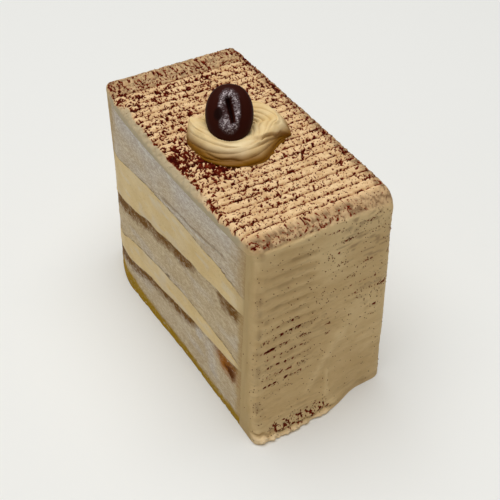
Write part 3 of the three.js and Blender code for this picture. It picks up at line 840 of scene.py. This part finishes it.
def coat_points():
    """Points of the whole coat, row by row from the front's foot to the back's, and the masks on them."""
    rows = coat_rows()
    sections = [coat_section(row) for row in rows]
    base = np.array([points for points, facing in sections])
    facing = np.array([facing for points, facing in sections])
    normal = np.cross(np.gradient(base, axis=1), np.gradient(base, axis=0))
    normal /= np.linalg.norm(normal, axis=-1, keepdims=True)
    x, y, z = np.moveaxis(base, -1, 0)
    turned = np.array([row.turned for row in rows])[:, None]
    at_front = np.array([row.turned < 1 and row.end is FRONT for row in rows])[:, None]
    top_at = np.where(turned < 1, y, np.array([row.at for row in rows])[:, None])
    on_top = ramp(turned, 0.3, 0.6)
    top_relief, top_cocoa = top_tears(x, top_at, y)
    ends = zip(end_combing(x, z, FRONT), end_combing(x, z, BACK))
    end_relief, end_cocoa, end_dust, lip = [np.where(at_front, front, back) for front, back in ends]
    from_left = x - cut_face(LEFT_CUT, y, z)
    corner = spot(from_left - LEFT_EDGE.inset, LEFT_EDGE.width) * (1 - on_top)
    end_relief = end_relief + LEFT_EDGE.waves * corner * mottle(z / 1.6, y / 1.2, 158)
    relief = mix(end_relief, top_relief, on_top) * facing * ramp(z, 0, FLAT_FOOT)
    hem = CUT_HEM + uneven(y, x, HEM_WAVES)
    # Painted sheen on the top coat's cut sides away from the ends, and over the top's left edge
    inward = ramp(FRONT.reach + y, *SHEEN_FROM_END) * ramp(BACK.reach - y, *SHEEN_FROM_END)
    cut_away = ramp(top_level(x, y) - z, hem, hem + 0.5) * fall(facing, 0.5, 0.9) * on_top
    out_facing = mix(ramp(facing, 0.2, 0.7), 1 - cut_away, on_top)
    over_edge = fall(from_left - uneven(y, x, OVER_EDGE_WAVES), *OVER_EDGE.width)
    over_edge = over_edge * on_top * band(y, *OVER_EDGE.y)
    from_right = cut_face(RIGHT_CUT, y, z) - x + 0.5 * mottle(y / 1.5, x / 3, 162)
    rim = fall(from_right, *TORN_RIGHT_RIM.width)
    # Cocoa smudges near the front edge; painted shade near the back edge; both near the right rim
    near_edge = most(ramp(y, *SMUDGED_AND_SHADED_EDGES.front), rim, 0.8 * ramp(y, *SMUDGED_AND_SHADED_EDGES.back)) * on_top
    smudge_and_shade = near_edge * (0.45 + 0.55 * ramp(uneven(x, y, CRUMBS), -0.3, 0.5)) * out_facing
    scuffs = ramp(uneven(x, z, SCUFFS), 0.25, 0.9) * (1 - on_top) * facing
    scuffs = scuffs * (0.4 + 0.6 * ramp(z, *SCUFFED.up) * ramp(x, *SCUFFED.x))
    aside = fall(facing, 0.0, 0.8)
    side_smear = aside * (0.8 + 0.2 * mottle(y / 0.7, z / 14, 156))
    # Painted shade down the left corners of the ends, mottled; grains gather there too
    worn = corner * ramp(z, *LEFT_EDGE.worn) * ramp(mottle(z / 1.8, y / 3, 155), -0.2, 0.6)
    from_layers = np.maximum(LAYERS_START - y, y - LAYERS_FINISH)
    swayed = from_layers + 0.6 * mottle(z / 6, y / 9, 166)
    dragged = 0.7 * mottle(swayed / 0.6 + z / 22, z / 5, 159) + 0.5 * mottle(swayed / 0.3, z / 3, 160)
    # Dragged streaks on the coat's cut sides, and painted shade down the left corners
    streaks_and_corner_shade = most(aside * (1 - on_top) * ramp(from_layers, 0.4, 3), 0.6 * corner) * ramp(dragged, -0.2, 0.9)
    points = base + normal * relief[..., None]
    masks = {
        "cocoa": mix(end_cocoa, top_cocoa, on_top) * out_facing * (1 - over_edge),
        # Crests painted paler as painted light, partly also as cream bare of dust; hollows darker as painted
        # shade
        "crest": ramp(relief, -0.2, 0.14),
        "smudge_and_shade": most(smudge_and_shade, 0.5 * worn, 0.55 * scuffs),
        "painted_sheen": most(cut_away * inward, 0.9 * over_edge),
        "smeared": side_smear * mix(1 - on_top, cut_away * (1 - inward), on_top),
        "streaks_and_corner_shade": 0.35 * streaks_and_corner_shade,
        # Painted light on the top of the lip
        "lip": 0.85 * lip * (1 - on_top) * facing,
        "top": on_top + 0 * x,
        "dust": 0.5 * most(end_dust, 0.3 * worn) * (1 - on_top) * out_facing,
    }
    return points, masks


def chips_group():
    """Torn cream: flat little chips, each painted lighter or darker as shade from its own tilt, at a size
    given in chips a metre.
    """
    group, given, result = new_group("Chips", "ShaderNodeTree", {"Chips": "Float"}, {"Tone": "Float"})
    place = add_node(group, "ShaderNodeTexCoord").outputs["Object"]
    cells = add_node(group, "ShaderNodeTexVoronoi", {"Vector": place, "Scale": given["Chips"]})
    tone = add_node(group, "ShaderNodeSeparateColor", {"Color": cells.outputs["Color"]}).outputs["Red"]
    group.links.new(tone, result["Tone"])
    return group


def coat_material():
    material, tree, shader = new_material("coat", Specular_IOR_Level=0.05, **SOFT_LIGHT_INSIDE)
    grain = crumb_texture(tree, **COAT_CRUMB)
    chips = add_node(tree, "ShaderNodeGroup", {"Chips": CHIPS_PER_METRE}, node_tree=chips_group())
    top = mask_value(tree, "top")
    chip = sums(tree, "MULTIPLY", chips.outputs["Tone"], top)
    # Tone: crests paler as painted light, hollows darker as painted shade, chips lighter or darker as shade
    # from their tilt
    tone = weigh(tree, (grain["Tone"], 0.35), (mask_value(tree, "crest"), 0.4), (chip, 0.25))
    on_end = blend(tree, tone, END_DEEP, END_PALE)
    colour = blend(tree, top, on_end, blend(tree, tone, CREAM_DEEP, CREAM_PALE))
    # Painted shade with the smudges, painted sheen, painted shade with the streaks, painted light on the lip
    smears = {"smudge_and_shade": COCOA_SMUDGE_AND_SHADE, "smeared": SPREAD_CREAM, "painted_sheen": COAT_SHEEN_GREY}
    colour = tint(tree, colour, {**smears, "streaks_and_corner_shade": CREAM_STREAK_AND_CORNER_SHADE, "lip": LIP_PAINTED_LIGHT})
    fine = sums(tree, "SUBTRACT", grain["Height"], 0.44)
    cocoa = sums(tree, "ADD", mask_value(tree, "cocoa"), sums(tree, "MULTIPLY", fine, 0.8))
    colour = blend(tree, between(tree, cocoa, 0.2, 0.4), colour, COCOA_RED)
    colour = blend(tree, between(tree, cocoa, 0.36, 0.75), colour, COCOA_DARK)
    roughness = between(tree, cocoa, 0, 1, 0.55, 0.95)
    height = sums(tree, "ADD", grain["Height"], sums(tree, "MULTIPLY", chip, 0.5))
    finish_surface(tree, shader, colour, roughness, height, strength=0.45, depth=0.4)
    return material


coat_grid, coat_masks = coat_points()
faces = ring_faces(*coat_grid.shape[:2])
coat = new_piece("coat", coat_grid.reshape(-1, 3), faces, coat_masks, coat_material())
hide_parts("icing")
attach(coat, "root")

# Bean: a moulded coffee bean of dark chocolate, with a slit between two grainy lips down its face. It is
# pressed into the rosette, leaning back.
BEAN = Values(length=14.6, width=11.8, face=3.3, back=4.7, place=(-2.37, -0.63, 69.5))
BEAN_LEAN = math.radians(45)
BEAN_TURN = math.radians(-31)
BEAN_BLUNTNESS = 0.86
BEAN_LIPS = Values(across=2.3, along=4.05, rise=0.05, height=0.45, width=0.34)
BEAN_DISH = 0.35
BEAN_SLIT = Values(
    depth=1.2,
    top_width=0.55,
    foot_width=0.2,
    widening=(-4, 3),
    sway=0.6,
    shift=0.25,
    fade=(0.34, 0.52),
)
# Smooth spot beside the slit, without grains, painted dark as a painted reflection
BEAN_SMOOTH_SPOT = Values(at=-2.6, level=-0.8, length=1.2, depth=1.7, slope=0.0)
BEAN_GRAINS = Values(size=0.2, height=0.14)
BEAN_STEPS = Values(round=300, lengthwise=200, crowding=0.55)
BEAN_CRUMB = {"bumps": 2600, "stretch": (1, 1, 1)}
CHOCOLATE = srgb(50, 17, 9)
# Painted highlight: glints on the tips of the grains
CHOCOLATE_GLINT = srgb(228, 216, 216)
# Painted shade in the slit, and a painted dark reflection on the smooth spot
CHOCOLATE_SHADE = srgb(20, 7, 5)
# Painted sheen on the grainy lips
CHOCOLATE_SHEEN = srgb(104, 88, 92)


def bean_turned():
    """The bean's own axes: across its face, from its face to its back, and along its slit."""
    lean = np.array([
        [1, 0, 0],
        [0, math.cos(BEAN_LEAN), math.sin(BEAN_LEAN)],
        [0, -math.sin(BEAN_LEAN), math.cos(BEAN_LEAN)],
    ])
    turn = np.array([
        [math.cos(BEAN_TURN), -math.sin(BEAN_TURN), 0],
        [math.sin(BEAN_TURN), math.cos(BEAN_TURN), 0],
        [0, 0, 1],
    ])
    return turn @ lean


def bean_points():
    """Points of the bean, ring by ring from its foot to its head, then its two tips, and their masks."""
    half = BEAN.length / 2
    steps = np.arange(1, BEAN_STEPS.lengthwise)[:, None] / BEAN_STEPS.lengthwise
    z = -half * np.cos(steps * math.pi)
    taper = np.sqrt(1 - (z / half) ** 2) ** BEAN_BLUNTNESS
    even = np.arange(BEAN_STEPS.round)[None, :] / BEAN_STEPS.round * 2 * math.pi
    angle = even + BEAN_STEPS.crowding * np.sin(even)
    x = BEAN.width / 2 * taper * np.sin(angle)
    facing = np.cos(angle) + 0 * z
    bulge = np.where(facing > 0, BEAN.face, BEAN.back)
    y = -bulge * taper * facing
    along = z - BEAN_LIPS.rise
    from_slit = x - BEAN_SLIT.shift + BEAN_SLIT.sway * np.sin(along / half * math.pi)
    ring = np.hypot(x / BEAN_LIPS.across, along / BEAN_LIPS.along)
    lips = spot(ring - 1, BEAN_LIPS.width)
    dish = fall(ring, 0.1, 0.9)
    fade = fall(np.abs(along / half), *BEAN_SLIT.fade)
    slit_width = mix(BEAN_SLIT.foot_width, BEAN_SLIT.top_width, ramp(along, *BEAN_SLIT.widening))
    slit = spot(from_slit, slit_width) * fade
    smooth = fall(oval(x, along, BEAN_SMOOTH_SPOT), 0.6, 1.2)
    front = ramp(facing, 0, 0.3)
    size = BEAN_GRAINS.size
    grains = 0.7 * mottle(x / size, z / size, 171) + 0.5 * mottle(x / size * 1.8, z / size * 1.8, 172)
    patchy = 0.9 + 0.35 * mottle(x / 1.6, z / 1.6, 173)
    beside_slit = ramp(np.where(from_slit > 0, from_slit - 0.3, -from_slit), 0.3, 0.9)
    grainy = fall(ring, 0.95, 1.45) * beside_slit * mix(0.4, 1, lips)
    grainy = np.maximum(grainy, lips * (1 - fade)) * (1 - smooth) * front * patchy
    sunk = BEAN_SLIT.depth * slit + BEAN_DISH * dish - BEAN_LIPS.height * lips
    y = y + front * sunk - BEAN_GRAINS.height * grains * grainy
    poles = np.array([[0, 0, -half], [0, 0, half]])
    points = np.concatenate([np.stack([x, y, z + 0 * x], axis=-1).reshape(-1, 3), poles])
    shown = {
        "grainy": grainy,
        # Painted highlights on the grain tips
        "sparkle": ramp(grains, -0.1, 0.7) * ramp(grainy, 0.1, 0.9),
        # Painted shade in the slit and a painted dark reflection on the smooth spot
        "deep": np.maximum(slit, 0.8 * smooth) * front,
    }
    masks = {name: np.concatenate([values.ravel(), (0, 0)]) for name, values in shown.items()}
    return points @ bean_turned().T + BEAN.place, masks


def bean_faces():
    """Quads round the bean, with a fan of triangles at each tip."""
    round_steps, rings = BEAN_STEPS.round, BEAN_STEPS.lengthwise - 1
    faces = ring_faces(rings, round_steps)[:-2]
    low, high = rings * round_steps, rings * round_steps + 1
    last = (rings - 1) * round_steps
    for i in range(round_steps):
        after = (i + 1) % round_steps
        faces.append([low, after, i])
        faces.append([high, last + i, last + after])
    return faces


def bean_material():
    material, tree, shader = new_material("dark chocolate", Specular_IOR_Level=0.05)
    grain = crumb_texture(tree, **BEAN_CRUMB)
    grainy = mask_value(tree, "grainy")
    # Painted shade in the slit and painted dark reflection on the smooth spot
    colour = blend(tree, mask_value(tree, "deep"), CHOCOLATE, CHOCOLATE_SHADE)
    # Painted sheen over the grainy lips
    colour = blend(tree, between(tree, grainy, 0.1, 1, 0, 0.6), colour, CHOCOLATE_SHEEN)
    # Painted glints on the grains
    colour = tint(tree, colour, {"sparkle": CHOCOLATE_GLINT})
    roughness = between(tree, grainy, 0, 1, 0.42, 0.34)
    height = sums(tree, "MULTIPLY", grain["Height"], grainy)
    finish_surface(tree, shader, colour, roughness, height, strength=0.6, depth=0.4)
    return material


points, masks = bean_points()
bean = new_piece("bean_look", points, bean_faces(), masks, bean_material())
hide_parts("bean")
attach(bean, "root")

# Rosette: one rope of coffee buttercream, piped from a star nozzle in a single turn and drawn off to a point
# at its left. It sits on the combed coat and holds the bean.
ROSETTE = Values(x=0.3, y=-0.75, crest=9.3, outside=3.6, inside=5.8, height=5.1, floor=2.9)
ROPE_START = Values(until=0.25, fullness=0.86, inset=0.6)
ROPE_TAIL = Values(start=0.86, crest=12.3, outside=0.9, inside=4.2, height=4.8)
ROPE_SECTION = (-0.14 * math.pi, 0.94 * math.pi)
ROPE_STEEPNESS = 1.45
ROSETTE_SEAM = math.radians(141)
FRONT_LOBE = Values(angle=math.radians(-124), width=1.15, sinking=1.5, smoothing=0.9)
FLAT_SIDE = Values(angle=math.radians(-58), width=0.5, inset=1.9, degrees=(-27, -38))
FOLD = Values(
    angles=(-219, -110, -88, -60, -39, -29),
    sections=(2.0, 2.0, 1.9, 1.08, 0.67, 0.06),
    edge=0.08,
    drop=0.85,
    degrees=(28, 33, 64, 108),
)
SECOND_FOLD = Values(place=0.66, width=0.07, drop=0.4, degrees=(34, 42, 84, 104))
LOBE_RIDGES = Values(count=4, slant=0.24, depth=0.65, degrees=(-30, -40))
FLUTES = Values(count=9, depth=0.6, sweep=0.5)
LOWER_CREASE = Values(section=0.5, width=0.09, depth=0.45, degrees=(-172, -157, -127, -112))
ROSETTE_STEPS = Values(round=330, section=104)
ROSETTE_LUMPS = 0.16
ROSETTE_SCALLOPS = 0.4
ROSETTE_SHADE = (0.7, 4.4)
BEAN_POCKET_GAP = 0.1
PIPED_PALE = srgb(244, 221, 174)
PIPED_DEEP = srgb(225, 190, 126)
# Painted shade on the rope's lower flank and in its folds, creases and grooves
PIPED_SHADE = srgb(132, 86, 6)
PIPED_CRUMB = {"bumps": 900, "stretch": (1, 1, 1)}


def under_bean(x, y):
    """Height of the bean's underside, less a small gap, or a great height where there is no bean."""
    half_sizes = np.array([BEAN.width, BEAN.face + BEAN.back, BEAN.length]) / 2
    axes = bean_turned() / half_sizes
    form = axes @ axes.T
    dx, dy = x - BEAN.place[0], y - BEAN.place[1]
    a = form[2, 2]
    b = form[0, 2] * dx + form[1, 2] * dy
    c = form[0, 0] * dx**2 + 2 * form[0, 1] * dx * dy + form[1, 1] * dy**2 - 1
    inside = b**2 - a * c
    underside = BEAN.place[2] + (-b - np.sqrt(np.maximum(inside, 0))) / a
    return np.where(inside > 0, underside - BEAN_POCKET_GAP, 2 * HEIGHT)


def turn_from(angle, place):
    """Angle from a place on the rosette, either way round."""
    return np.arctan2(np.sin(angle - place), np.cos(angle - place))


def rosette_points():
    """Points of the rope, ring by ring from its foot over its crest to its eye, and how much painted shade
    each has.
    """
    gone = (np.arange(ROSETTE_STEPS.round)[None, :] + 0.5) / ROSETTE_STEPS.round
    angle = ROSETTE_SEAM - gone * 2 * math.pi
    turned = np.degrees(angle)
    section = np.linspace(*ROPE_SECTION, ROSETTE_STEPS.section + 1)[:, None]
    start = ramp(gone, 0, ROPE_START.until)
    tail = ramp(gone, ROPE_TAIL.start, 1)
    lobe = spot(turn_from(angle, FRONT_LOBE.angle), FRONT_LOBE.width)
    fullness = mix(ROPE_START.fullness, 1, start)
    flat = FLAT_SIDE.inset * spot(turn_from(angle, FLAT_SIDE.angle), FLAT_SIDE.width)
    flat = flat * ramp(turned, *FLAT_SIDE.degrees)
    crest = mix(ROSETTE.crest - ROPE_START.inset * (1 - start) - flat, ROPE_TAIL.crest, tail)
    outside = mix(ROSETTE.outside * fullness, ROPE_TAIL.outside, tail)
    inside = mix(ROSETTE.inside * fullness, ROPE_TAIL.inside, tail)
    sinking = FRONT_LOBE.sinking * lobe
    rope_height = mix(ROSETTE.height * fullness - sinking, ROPE_TAIL.height, tail)
    fold_at = np.interp(turned, FOLD.angles, FOLD.sections)
    below_fold = fold_at - section + 0.08 * mottle(angle * 6, 0.5, 205)
    folded = band(-turned, *FOLD.degrees)
    under = FOLD.drop * ramp(below_fold, -FOLD.edge, FOLD.edge) * folded
    along_lobe = np.clip(section, 0, None) / fold_at
    second = spot(along_lobe - SECOND_FOLD.place, SECOND_FOLD.width)
    second = SECOND_FOLD.drop * second * band(-turned, *SECOND_FOLD.degrees)
    on_lobe = ramp(turned, *LOBE_RIDGES.degrees) * (1 - tail) * fall(along_lobe, 0.9, 1.0)
    broken = 0.6 + 0.4 * mottle(angle * 3, along_lobe * 3, 204)
    ridges = LOBE_RIDGES.count * math.pi * (along_lobe - LOBE_RIDGES.slant * angle)
    groove = (1 - np.abs(np.sin(ridges)) ** 0.5) * broken * on_lobe
    furrow = np.abs(np.sin(FLUTES.count * (section - FLUTES.sweep * angle))) ** 0.5
    ridged = (1 - FRONT_LOBE.smoothing * lobe) * (1 - tail) * mix(0.15, 1, ramp(section, 1.2, 1.9))
    creased_at = section - LOWER_CREASE.section - 0.1 * mottle(angle * 4, 0.5, 206)
    lower = spot(creased_at, LOWER_CREASE.width) * band(turned, *LOWER_CREASE.degrees)
    lumps = mottle(angle * 2.2, section * 1.4, 201) + 0.5 * mottle(angle * 5, section * 6, 202)
    scallops = ROSETTE_SCALLOPS * mottle(angle * 5, 0.5, 203) * fall(section, 0.3, 1.2)
    swell = FLUTES.depth * (furrow - 0.75) * ridged - under - second + ROSETTE_LUMPS * lumps + scallops
    swell = swell - LOBE_RIDGES.depth * groove - LOWER_CREASE.depth * lower
    swell = swell * ramp(section, -0.5, 0.3)
    along = np.cos(section)
    up = np.sin(section)
    outside_up = np.sign(up) * np.abs(up) ** ROPE_STEEPNESS
    outward = np.maximum(along, 0) ** ROPE_STEEPNESS
    inward = np.minimum(along, 0)
    radius = crest + (outside + swell) * outward + (inside + 0.5 * swell) * inward
    outer_height = (rope_height + swell) * outside_up
    inner_height = ROSETTE.floor + (rope_height - ROSETTE.floor) * up + swell
    height = np.where(section > math.pi / 2, inner_height, outer_height)
    x = ROSETTE.x + radius * np.cos(angle)
    y = ROSETTE.y + radius * np.sin(angle)
    z = np.minimum(HEIGHT + height, under_bean(x, y))
    # Painted shade: low on the outer flank, and in the folds, creases and grooves
    low = fall(height, *ROSETTE_SHADE) * (section < math.pi / 2)
    creased = spot(below_fold - FOLD.edge, 0.1) * folded
    between_flutes = fall(furrow, 0.2, 0.75) * ridged
    low = most(low, 0.8 * creased, 0.9 * second, 0.55 * groove, 0.4 * between_flutes, 0.7 * lower)
    return np.stack([x, y, z], axis=-1), {"low": low}


def rosette_material():
    material, tree, shader = new_material("piped cream", Specular_IOR_Level=0.15, **SOFT_LIGHT_INSIDE)
    grain = crumb_texture(tree, **PIPED_CRUMB)
    # Painted shade laid over the cream
    colour = tint(tree, blend(tree, grain["Tone"], PIPED_DEEP, PIPED_PALE), {"low": PIPED_SHADE})
    roughness = between(tree, grain["Tone"], 0, 1, 0.5, 0.4)
    finish_surface(tree, shader, colour, roughness, grain["Height"], strength=0.12, depth=0.3)
    return material


points, masks = rosette_points()
faces = ring_faces(*points.shape[:2])
rosette = new_piece("rosette_look", points.reshape(-1, 3), faces, masks, rosette_material())
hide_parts("rosette")
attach(rosette, "root")

# Cocoa grains: sifted cocoa that lies in clumps and single specks on the coat, thickest on the top and thin
# on the ends.
GRAIN_SIZE = Values(smallest=0.07, largest=0.19)
GRAIN_SHAPE = {"X": 1.3, "Y": 0.9, "Z": 0.7}
GRAIN_TURN = 6.28
GRAINS_PER_MM2 = 0.9
GRAIN_SEED = 11
END_DUSTING = Values(share=0.55, x=(-12, 2), z=(22, 32))
GRAIN_DARK = srgb(48, 20, 8)
GRAIN_RED = srgb(118, 72, 42)


def grains_material():
    material, tree, shader = new_material("cocoa", Roughness=0.9, Specular_IOR_Level=0.04)
    tone = mask_value(tree, "tone")
    tree.links.new(blend(tree, tone, GRAIN_DARK, GRAIN_RED), shader.inputs["Base Color"])
    return material


def random_number(tree, low, high, seed):
    inputs = {2: low, 3: high, "Seed": seed}
    return add_node(tree, "FunctionNodeRandomValue", inputs, data_type="FLOAT").outputs[1]


def grains_tree():
    """Geometry Nodes tree that scatters rough little lumps over a surface, by the surface's own dusting."""
    inputs = {"Surface": "Geometry", "Density": "Float", "Smallest": "Float", "Largest": "Float"}
    inputs.update({"Seed": "Int", "Material": "Material"})
    tree, given, result = new_group("Cocoa grains", "GeometryNodeTree", inputs, {"Grains": "Geometry"})
    dusting = add_node(tree, "GeometryNodeInputNamedAttribute", {"Name": "dusting"}, data_type="FLOAT")
    density = sums(tree, "MULTIPLY", dusting.outputs["Attribute"], given["Density"])
    spread = {"Mesh": given["Surface"], "Density": density, "Seed": given["Seed"]}
    scatter = add_node(tree, "GeometryNodeDistributePointsOnFaces", spread)
    lump = add_node(tree, "GeometryNodeMeshIcoSphere", {"Radius": 1.0, "Subdivisions": 1})
    size = random_number(tree, given["Smallest"], given["Largest"], given["Seed"])
    sizes = {axis: sums(tree, "MULTIPLY", size, share) for axis, share in GRAIN_SHAPE.items()}
    turns = {0: (0, 0, 0), 1: (GRAIN_TURN, GRAIN_TURN, GRAIN_TURN)}
    placing = {
        "Points": scatter.outputs["Points"],
        "Instance": lump.outputs["Mesh"],
        "Rotation": add_node(tree, "FunctionNodeRandomValue", turns, data_type="FLOAT_VECTOR").outputs[0],
        "Scale": add_node(tree, "ShaderNodeCombineXYZ", sizes).outputs[0],
    }
    grains = add_node(tree, "GeometryNodeInstanceOnPoints", placing).outputs[0]
    tone = {"Geometry": grains, "Name": "tone", "Value": random_number(tree, 0.0, 1.0, given["Seed"])}
    toned = add_node(tree, "GeometryNodeStoreNamedAttribute", tone, data_type="FLOAT", domain="INSTANCE")
    real = add_node(tree, "GeometryNodeRealizeInstances", {"Geometry": toned.outputs[0]}).outputs[0]
    finish = {"Geometry": real, "Material": given["Material"]}
    tree.links.new(add_node(tree, "GeometryNodeSetMaterial", finish).outputs[0], result["Grains"])
    return tree


def grains_piece(name, surface, dusting):
    """Grains over a copy of a surface, as a plain mesh of their own."""
    piece = add_object(name, surface.data.copy())
    add_mask(piece.data, "dusting", dusting)
    tree = grains_tree()
    modifier = piece.modifiers.new("grains", "NODES")
    modifier.node_group = tree
    values = {
        "Density": GRAINS_PER_MM2 / MM**2,
        "Smallest": GRAIN_SIZE.smallest * MM,
        "Largest": GRAIN_SIZE.largest * MM,
        "Seed": GRAIN_SEED,
        "Material": grains_material(),
    }
    for socket in tree.interface.items_tree:
        if socket.name in values:
            modifier[socket.identifier] = values[socket.name]
    evaluated = piece.evaluated_get(bpy.context.evaluated_depsgraph_get())
    mesh = bpy.data.meshes.new_from_object(evaluated)
    piece.modifiers.remove(modifier)
    piece.data = mesh
    return piece


def coat_dusting(points, masks):
    """How thickly the grains lie at every point of the coat."""
    x, y, z = np.moveaxis(points, -1, 0)
    top = 0.5 + 1.2 * masks["cocoa"]
    patches = ramp(mottle(x / 5, z / 4, 161), -0.3, 0.6)
    sifted = END_DUSTING.share * patches * ramp(x, *END_DUSTING.x) * ramp(z, *END_DUSTING.z)
    end = 0.16 + sifted + 6 * masks["dust"]
    covered = np.maximum(masks["painted_sheen"], masks["smeared"])
    return mix(end, top, masks["top"]) * (1 - covered) * ramp(z, 0.5, 2)


grains = grains_piece("cocoa_grains", coat, coat_dusting(coat_grid, coat_masks))
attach(grains, "root")

# Studio: a plain pale floor under one large soft light overhead, a little to the left, with a faint light
# from the left and a faint fill from all round.
FLOOR_SIZE = 6.0
FLOOR_WHITE = srgb(240, 240, 236)
KEY_LIGHT = Values(place=(-0.06, 0.08, 1.4), size=1.5, power=21.0)
SIDE_LIGHT = Values(place=(-1.1, -0.2, 0.6), size=0.8, power=0.5)
FILL = {"Color": (1, 1, 1, 1), "Strength": 0.165}


def studio_floor():
    corners = np.array([(-1, -1, 0), (1, -1, 0), (1, 1, 0), (-1, 1, 0)]) * FLOOR_SIZE / 2
    mesh = bpy.data.meshes.new("floor")
    mesh.from_pydata(corners.tolist(), [], [(0, 1, 2, 3)])
    mesh.materials.append(new_material("floor", Roughness=0.8, Base_Color=FLOOR_WHITE)[0])
    add_object("floor", mesh)


def soft_light(name, settings):
    """Square light that faces the middle of the floor."""
    data = bpy.data.lights.new(name, "AREA")
    data.size = settings.size
    data.energy = settings.power
    light = add_object(name, data)
    light.location = settings.place
    light.rotation_euler = (-light.location).to_track_quat("-Z", "Y").to_euler()


def studio_fill():
    world = bpy.data.worlds.new("studio")
    world.use_nodes = True
    for socket, value in FILL.items():
        world.node_tree.nodes["Background"].inputs[socket].default_value = value
    bpy.context.scene.world = world


studio_floor()
soft_light("key light", KEY_LIGHT)
soft_light("side light", SIDE_LIGHT)
studio_fill()
bpy.context.scene.view_settings.view_transform = "Standard"

# Camera: the view of the photograph, from the front left and above. Its place, turn and lens come from a fit
# of the slice's edges.
CAMERA_PLACE = (-86.91, -149.99, 177.53)
CAMERA_AZIMUTH = math.radians(-31.18)
CAMERA_ELEVATION = math.radians(41.585)
CAMERA_LENS = 59.36
CAMERA_NEAREST = 0.01

camera_data = bpy.data.cameras.new("camera")
camera_data.lens = CAMERA_LENS
camera_data.clip_start = CAMERA_NEAREST
camera = add_object("camera", camera_data)
camera.location = np.array(CAMERA_PLACE) * MM
camera.rotation_euler = (math.pi / 2 - CAMERA_ELEVATION, 0, CAMERA_AZIMUTH)
bpy.context.scene.camera = camera
